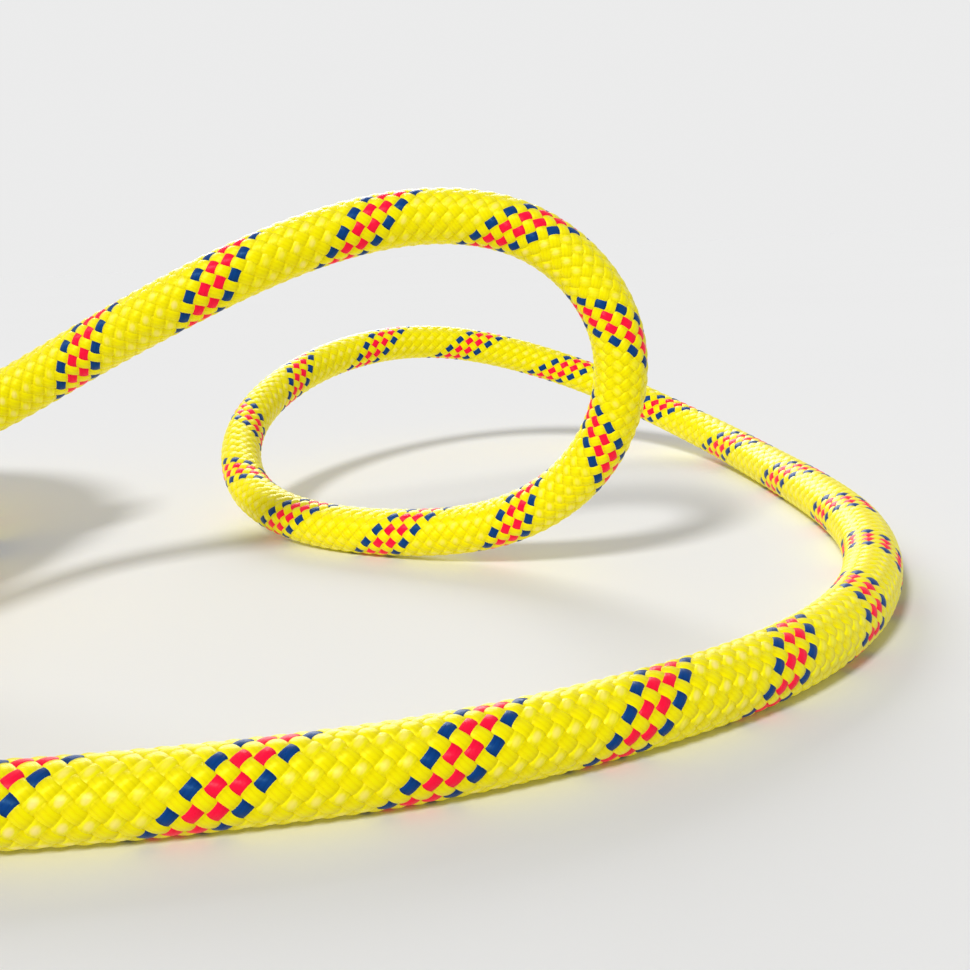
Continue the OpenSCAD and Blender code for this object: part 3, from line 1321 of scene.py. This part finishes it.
@dataclass
class RopeEnd:
    """A melted rope end in its shrink sleeve, drawn along the rope from its face."""

    label: str
    braid: Braid
    face: float
    inward: int
    facets_per_carrier: int = 8
    # Sleeve.
    station: float = 0.0005
    sleeve_length: float = 0.038
    sleeve_r: float = 0.00582
    wall: float = 0.00060
    wall_edge: float = 0.00015
    rim_length: float = 0.0022
    rim_depth: float = 0.00024
    hem_at: float = 0.0036
    hem_width: float = 0.0016
    hem_depth: float = 0.00012
    relief: float = 0.00007
    # Seal: a root in the rope, a shoulder at its face and a dome.
    seal_thickness: float = 0.003
    seal_r: float = 0.00488
    root: float = 0.0006
    root_share: float = 0.985
    shoulder: float = 0.0013
    dome_height: float = 0.0014
    dome_rings: int = 12
    dome_edge: float = 0.6
    tip_share: float = 0.04
    lump: float = 0.0006
    lump_lean: float = 0.8
    # Share of the lump, number round the rope and turn of each set of lumps.
    lumps: tuple[tuple[float, float, float], ...] = ((1.0, 3.0, 1.0), (0.6, 5.0, 0.4))

    @property
    def strand(self) -> Strand:
        """The rope's centre line."""
        return self.braid.route.strand

    @property
    def row(self) -> int:
        """Row of the strand's arrays at this end."""
        return 0 if self.inward > 0 else -1

    @property
    def into(self) -> np.ndarray:
        """Direction into the rope at its face."""
        return self.strand.heading[self.row] * self.inward

    def _axis(self, reach: Values) -> np.ndarray:
        """Find positions on the rope's axis.

        Args:
            reach: Distance into the rope from its face, negative outside it.

        Returns:
            Positions, straight on past the face.
        """
        s = self.face + self.inward * reach
        inside = np.clip(s, 0.0, self.braid.route.length)
        past = (s - inside)[..., None] * self.strand.heading[self.row]
        return self.strand.axis(inside) + past

    def _drawn(
        self, name: str, reaches: np.ndarray, radii: np.ndarray, fill: str
    ) -> bpy.types.Object:
        """Draw a round piece along the rope, from ring to ring.

        Args:
            name: The piece's name.
            reaches: Reach of each ring into the rope.
            radii: Radius of each ring.
            fill: How the first ring is filled, NOTHING or NGON.

        Returns:
            The piece, with its faces outwards.
        """
        centres = self._axis(reaches)
        bpy.ops.object.select_all(action="DESELECT")
        bpy.ops.mesh.primitive_circle_add(
            vertices=self.facets_per_carrier * self.braid.carriers,
            radius=float(radii[0]),
            fill_type=fill,
            location=tuple(centres[0]),
            rotation=(0.0, math.radians(90.0), 0.0),
        )
        piece = take_up(name)
        edit_all()
        for k in range(1, len(reaches)):
            draw_on(centres[k] - centres[k - 1])
            ratio = radii[k] / radii[k - 1]
            bpy.ops.transform.resize(
                value=(1.0, ratio, ratio), center_override=tuple(centres[k])
            )
        close_outwards()
        return piece

    def _polar(self, piece: bpy.types.Object) -> tuple[np.ndarray, np.ndarray, np.ndarray]:
        """Place a piece's vertices round the rope.

        Args:
            piece: The piece.

        Returns:
            The reach, the angle and the outward direction of each vertex.
        """
        points = points_of(piece).astype(float)
        reach = (points - self.strand.centre[self.row]) @ self.into
        out = points - self._axis(reach)
        side, up = self.strand.side[self.row], self.strand.up[self.row]
        distance = np.maximum(np.linalg.norm(out, axis=1), 1e-9)
        return reach, np.arctan2(out @ up, out @ side), out / distance[:, None]

    def _shift(self, piece: bpy.types.Object, moves: np.ndarray) -> None:
        """Move each of a piece's vertices.

        Args:
            piece: The piece.
            moves: N x 3 moves.
        """
        moved = (points_of(piece) + moves).astype(np.float32)
        piece.data.vertices.foreach_set("co", moved.ravel())
        piece.data.update()

    def sleeve(self) -> bpy.types.Object:
        """Make the sleeve: a tube shrunk on, which shows the braid's crowns.

        Returns:
            The sleeve.
        """
        steps = round(self.sleeve_length / self.station)
        along = np.linspace(0.0, self.sleeve_length, steps + 1)
        rim = np.clip(np.minimum(along, self.sleeve_length - along) / self.rim_length, 0.0, 1.0)
        rolled = np.sqrt(1.0 - (1.0 - rim) ** 2)
        hem = np.exp(-(((along - self.hem_at) / self.hem_width) ** 2))
        radii = self.sleeve_r - self.rim_depth * (1.0 - rolled) - self.hem_depth * hem
        reaches = along - self.seal_thickness
        piece = self._drawn(f"end_sleeve_{self.label}_tube", reaches, radii, "NOTHING")
        reach, angle, out = self._polar(piece)
        s = self.face + self.inward * np.maximum(reach, 0.0)
        turn = angle - self.braid.turned
        crowns = np.cos(math.pi * self.braid.crossing_at(s)) * np.cos(self.braid.carriers * turn)
        fade = np.interp(reach + self.seal_thickness, along, rolled)
        self._shift(piece, (self.relief * crowns * fade)[:, None] * out)
        thicken(piece, self.wall, -1.0, self.wall_edge)
        bpy.ops.object.shade_smooth()
        return piece

    def seal(self) -> bpy.types.Object:
        """Make the seal: a lumpy melted dome just inside the sleeve's mouth.

        Returns:
            The seal.
        """
        climb = np.linspace(0.0, 1.0, self.dome_rings + 1)
        dome = self.dome_height * np.sin(0.5 * math.pi * climb)
        shrink = np.maximum(np.cos(0.5 * math.pi * climb) ** self.dome_edge, self.tip_share)
        reaches = np.concatenate([[self.root, -self.shoulder], -self.shoulder - dome[1:]])
        radii = self.seal_r * np.concatenate([[self.root_share, 1.0], shrink[1:]])
        piece = self._drawn(f"end_seal_{self.label}_melt", reaches, radii, "NGON")
        reach, angle, out = self._polar(piece)
        height = np.clip((-self.shoulder - reach) / self.dome_height, 0.0, 1.0)
        lumps = sum(share * np.sin(count * angle + turn) for share, count, turn in self.lumps)
        swell = self.lump * lumps * height * (1.0 - height)
        self._shift(piece, swell[:, None] * out - (self.lump_lean * swell)[:, None] * self.into)
        select_only(piece)
        bpy.ops.object.shade_smooth_by_angle(angle=SHARP_EDGE)
        return piece

    def build(self, wardrobe: Wardrobe) -> list[bpy.types.Object]:
        """Make and dress both pieces, which stand for their CAD nodes.

        Args:
            wardrobe: The rope's materials.

        Returns:
            The sleeve and the seal.
        """
        sleeve, seal = self.sleeve(), self.seal()
        dress(sleeve, wardrobe.shrink)
        dress(seal, wardrobe.seal)
        for piece, kind in ((sleeve, "sleeve"), (seal, "seal")):
            enter(piece, f"end_{kind}_{self.label}_side")
        return [sleeve, seal]


@dataclass
class LooseStretch:
    """The stretch outside the coil: lining, twenty yarns and one sleeved end."""

    braid: Braid
    lining_r: float = 0.00422
    bore_r: float = 0.00398
    ring_spacing: float = 0.002

    @property
    def end(self) -> float:
        """Arc length of the last whole crossing before the coil."""
        last = int(self.braid.crossing_at(self.braid.route.loose_length))
        return float(self.braid.length_at(last))

    @property
    def seam(self) -> float:
        """Arc length of the whole crossing under the last tie, where the yarns stop."""
        route = self.braid.route
        part = route.part_turn(TIE_ANGLES[-1])
        under = self.braid.crossing_at(route.at_turn(math.floor(route.turns - part) + part))
        return float(self.braid.length_at(round(under)))

    def yarns(self, wardrobe: Wardrobe) -> list[bpy.types.Object]:
        """Make and dress the twenty yarns.

        Args:
            wardrobe: The rope's materials.

        Returns:
            The yarns.
        """
        made = []
        for winding in Winding:
            places = self.braid.colour_of(winding, np.arange(self.braid.carriers))
            for number, place in enumerate(places):
                name = f"yarn_{winding.name.lower()}_{number + 1:02d}"
                yarn = self.braid.yarn(name, winding, number, self.seam)
                dress(yarn, wardrobe.yarns[place])
                enter(yarn)
                made.append(yarn)
        return made

    def build(self, wardrobe: Wardrobe) -> None:
        """Args:
            wardrobe: The rope's materials.
        """
        lining, path = self.braid.lining(
            "sheath_lining_loose", 0.0, self.end, self.lining_r, self.bore_r, self.ring_spacing
        )
        dress(lining, wardrobe.yarns[YarnColour.LEMON.value])
        enter(lining, "sheath_free_stretch")
        yarns = self.yarns(wardrobe)
        ends = RopeEnd("loop", self.braid, face=0.0, inward=1).build(wardrobe)
        self.end
        log.info("%s: %.3f m", lining.name, self.end)


@dataclass
class RopeCoil:
    """The rest of the rope: a lining and a braided skin for each layer, and its end."""

    braid: Braid
    start: float
    seam: float
    lining_r: float = 0.00420
    bore_r: float = 0.00398
    ring_spacing: float = 0.006

    def skins(self, wardrobe: Wardrobe) -> list[bpy.types.Object]:
        """Make and dress one skin for each layer, from the top down.

        Args:
            wardrobe: The rope's materials.

        Returns:
            The skins.
        """
        route = self.braid.route
        marks = [route.at_turn(k * route.layer_turns) for k in range(1, route.layers)]
        steps = [round(self.braid.crossing_at(s)) for s in (self.seam, *marks[::-1])]
        steps.append(int(self.braid.crossing_at(route.length)))
        made = []
        for k, (first, last) in enumerate(zip(steps, steps[1:])):
            skin = self.braid.skin(f"sheath_coil_layer_{route.layers - k}", first, last)
            dress(skin, *wardrobe.yarns)
            enter(skin)
            made.append(skin)
        return made

    def build(self, wardrobe: Wardrobe) -> None:
        """Args:
            wardrobe: The rope's materials.
        """
        length = self.braid.route.length
        lining, path = self.braid.lining(
            "sheath_lining_coil", self.start, length, self.lining_r, self.bore_r, self.ring_spacing
        )
        dress(lining, wardrobe.yarns[YarnColour.LEMON.value])
        enter(lining, "rope_coil")
        skins = self.skins(wardrobe)
        ends = RopeEnd("coil", self.braid, face=length, inward=-1).build(wardrobe)
        log.info("%s: %.3f m", lining.name, length - self.start)


@dataclass
class CoilTie:
    """A hook-and-loop tape round all the coil's turns at one angle."""

    number: int
    angle: float
    route: RopeRoute
    tape_width: float = 0.0196
    thickness: float = 0.001
    tape_share: float = 0.96
    selvedge: float = 0.00028
    play: float = 0.0002
    corner_r: float = 0.005
    corner_steps: int = 8
    overlap: float = 0.026
    lift_from: float = 0.0015
    lift_to: float = 0.0045
    fold_angle: float = math.radians(40.0)

    def _box(self) -> tuple[float, float, float]:
        """Find the room that the turns need.

        Returns:
            Radius of the tape's inner and outer run, and the height of its top run.
        """
        route = self.route
        part = route.part_turn(self.angle)
        wide = max(part, 1.0 - part)
        gap = route.rope_r + self.play
        near = route.coil_r - route.turn_pitch * (route.layer_turns - 1 + wide) - gap
        far = route.coil_r - route.turn_pitch * (1.0 - wide) + gap
        top = route.rest_z + route.turn_pitch * (route.layers - 1) + gap
        return near, far, top

    def _loop(self) -> np.ndarray:
        """Work out the tape's middle line in its own plane.

        Returns:
            Radius and height at each fold, end to end.
        """
        near, far, top = self._box()
        half = 0.5 * self.thickness
        low, high = half, top + half
        left, right = near - half, far + half
        r = self.corner_r + half
        lap = 0.5 * self.overlap
        middle = 0.5 * top
        arcs = [
            (right - r, high - r, 0.0),
            (left + r, high - r, 90.0),
            (left + r, low + r, 180.0),
            (right - r, low + r, 270.0),
        ]
        line = [(right, middle - lap)]
        for x, z, start in arcs:
            for step in range(self.corner_steps + 1):
                a = math.radians(start + 90.0 * step / self.corner_steps)
                line.append((x + r * math.cos(a), z + r * math.sin(a)))
        outer = right + self.thickness
        line.append((right, low + r + self.lift_from))
        line.append((outer, low + r + self.lift_to))
        line.append((outer, middle + lap))
        return np.array(line)

    def _strip(self, line: np.ndarray) -> bpy.types.Object:
        """Make the open strip: a first panel, drawn on round the turns edge by edge.

        Args:
            line: Radius and height of the strip's middle at each fold, end to end.

        Returns:
            The strip as it stands at angle 0 round the coil's axis, with its own map.
        """
        middle = 0.5 * (line[0] + line[1])
        length = float(line[1, 1] - line[0, 1])
        centre = (float(middle[0]), 0.0, float(middle[1]))
        bpy.ops.object.select_all(action="DESELECT")
        bpy.ops.mesh.primitive_plane_add(
            size=self.tape_width, location=centre, rotation=(0.0, math.radians(90.0), 0.0)
        )
        piece = take_up(f"tie_tape_{self.number}")
        edit_all()
        bpy.ops.transform.resize(
            value=(1.0, 1.0, length / self.tape_width), center_override=centre
        )
        bpy.ops.mesh.select_all(action="DESELECT")
        bpy.ops.object.mode_set(mode="OBJECT")
        for edge in piece.data.edges:
            ends = [piece.data.vertices[k] for k in edge.vertices]
            edge.select = all(v.co.z > centre[2] for v in ends)
            for v in ends:
                v.select = v.select or edge.select
        bpy.ops.object.mode_set(mode="EDIT")
        for before, after in zip(line[1:], line[2:]):
            draw_on((after[0] - before[0], 0.0, after[1] - before[1]))
        close_outwards()
        self._lay_map(piece.data, line)
        return piece

    def _lay_map(self, mesh: bpy.types.Mesh, line: np.ndarray) -> None:
        """Map the strip in millimetres along and across it.

        Args:
            mesh: The strip's mesh.
            line: The line that it was drawn along.
        """
        steps = np.linalg.norm(np.diff(line, axis=0), axis=1)
        along = np.concatenate([[0.0], np.cumsum(steps)])
        layer = mesh.uv_layers.active
        layer.name = YARN_MAP
        for loop in mesh.loops:
            x, y, z = mesh.vertices[loop.vertex_index].co
            nearest = int(np.argmin(np.hypot(line[:, 0] - x, line[:, 1] - z)))
            layer.data[loop.index].uv = (along[nearest] / MM, y / MM)

    def build(self, wardrobe: Wardrobe) -> None:
        """Make, dress and place the tape, which stands for its CAD node.

        Args:
            wardrobe: The rope's materials.
        """
        piece = self._strip(self._loop())
        thicken(piece, self.tape_share * self.thickness, 0.0, self.selvedge)
        piece.location = (*self.route.coil_centre, 0.0)
        piece.rotation_euler = (0.0, 0.0, math.radians(self.angle))
        settle(piece)
        bpy.ops.object.shade_smooth_by_angle(angle=self.fold_angle)
        dress(piece, wardrobe.tape)
        enter(piece, f"tie_strap_{self.number}")


# ---------------------------------------------------------------- studio


@dataclass(frozen=True)
class SoftLamp:
    """A large soft lamp far away, which lights the whole floor evenly.

    Bearing is from +X towards +Y, height is above the ground and spread is across the
    lamp, all in degrees. Power is its strength on a surface that faces it.
    """

    name: str
    bearing: float
    height: float
    spread: float
    power: float

    def hang(self) -> None:
        """Hang the lamp and point it at the rope."""
        data = bpy.data.lights.new(self.name, "SUN")
        data.angle, data.energy = math.radians(self.spread), self.power
        piece = bpy.data.objects.new(self.name, data)
        bpy.context.scene.collection.objects.link(piece)
        b, h = math.radians(self.bearing), math.radians(self.height)
        way = Vector((math.cos(b) * math.cos(h), math.sin(b) * math.cos(h), math.sin(h)))
        piece.location = way
        piece.rotation_euler = way.to_track_quat("Z", "Y").to_euler()


@dataclass
class Studio:
    """Camera, paper floor, soft lamps and a pale surround."""

    eye: tuple[float, float, float] = (0.117, -0.210, 0.0630)
    focal_pixels: float = 1000.0
    tilt: float = math.radians(13.167)
    roll: float = math.radians(3.128)
    sensor: float = 36.0
    sight: tuple[float, float] = (0.01, 100.0)
    floor_r: float = 40.0
    floor_sides: int = 96
    surround: Colour = (0.835, 0.835, 0.835)
    ambient: float = 0.38
    lamps: tuple[SoftLamp, ...] = (
        SoftLamp("front", bearing=-125.0, height=43.0, spread=12.0, power=2.0),
        SoftLamp("back", bearing=100.0, height=25.0, spread=34.0, power=1.87),
    )

    def camera(self) -> None:
        """Place the camera and make it the scene's."""
        data = bpy.data.cameras.new("camera")
        data.sensor_width = self.sensor
        data.lens = self.focal_pixels * self.sensor / IMAGE_SIDE
        data.clip_start, data.clip_end = self.sight
        piece = bpy.data.objects.new("camera", data)
        bpy.context.scene.collection.objects.link(piece)
        sp, cp = math.sin(self.tilt), math.cos(self.tilt)
        sr, cr = math.sin(self.roll), math.cos(self.roll)
        axes = Matrix(((cr, sr, 0.0), (-sr * sp, cr * sp, -cp), (-sr * cp, cr * cp, sp)))
        piece.matrix_world = Matrix.Translation(self.eye) @ axes.to_4x4()
        bpy.context.scene.camera = piece

    def paper(self) -> None:
        """Lay the floor, wide enough for its edge to meet the surround unseen."""
        bpy.ops.object.select_all(action="DESELECT")
        bpy.ops.mesh.primitive_circle_add(
            vertices=self.floor_sides, radius=self.floor_r, fill_type="NGON", location=(0, 0, 0)
        )
        piece = take_up("studio_paper")
        dress(piece, PaperFinish().material())

    def surroundings(self) -> None:
        """Light everything a little from all round, and show the surround as pale."""
        world = bpy.data.worlds.new("studio")
        bpy.context.scene.world = world
        world.use_nodes = True
        tree = Tree(world.node_tree)
        path = tree.node("ShaderNodeLightPath").outputs
        shown = tree.math("MAXIMUM", path["Is Camera Ray"], path["Is Glossy Ray"])
        shown = tree.math("MAXIMUM", shown, path["Is Transmission Ray"])
        strength = tree.times_plus(shown, 1.0 - self.ambient, self.ambient)
        backdrop = world.node_tree.nodes["Background"]
        tree.fill(backdrop, Color=self.surround, Strength=strength)

    def build(self) -> None:
        """Set up the whole studio."""
        self.camera()
        self.paper()
        self.surroundings()
        for lamp in self.lamps:
            lamp.hang()
        bpy.context.scene.view_settings.view_transform = "Standard"
        log.info("studio: %d lamps", len(self.lamps))


# ---------------------------------------------------------------- build


def main() -> None:
    """Build the rope and the studio."""
    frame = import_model()
    bpy.ops.object.select_all(action="DESELECT")
    Studio().build()
    wardrobe = Wardrobe()
    braid = Braid(RopeRoute())
    loose = LooseStretch(braid)
    loose.build(wardrobe)
    RopeCoil(braid, loose.end, loose.seam).build(wardrobe)
    for number, angle in enumerate(TIE_ANGLES, start=1):
        CoilTie(number, angle, braid.route).build(wardrobe)
    for name, node in sorted(frame["nodes"].items()):
        if name.startswith("core_strand"):
            dress(node, wardrobe.core)
            log.info("%s: finished in white", name)
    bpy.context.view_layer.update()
    log.info("rope: %.3f m", braid.route.length)


if __name__ == "__main__":
    logging.basicConfig(level=logging.INFO, format="%(name)s: %(message)s")
    main()
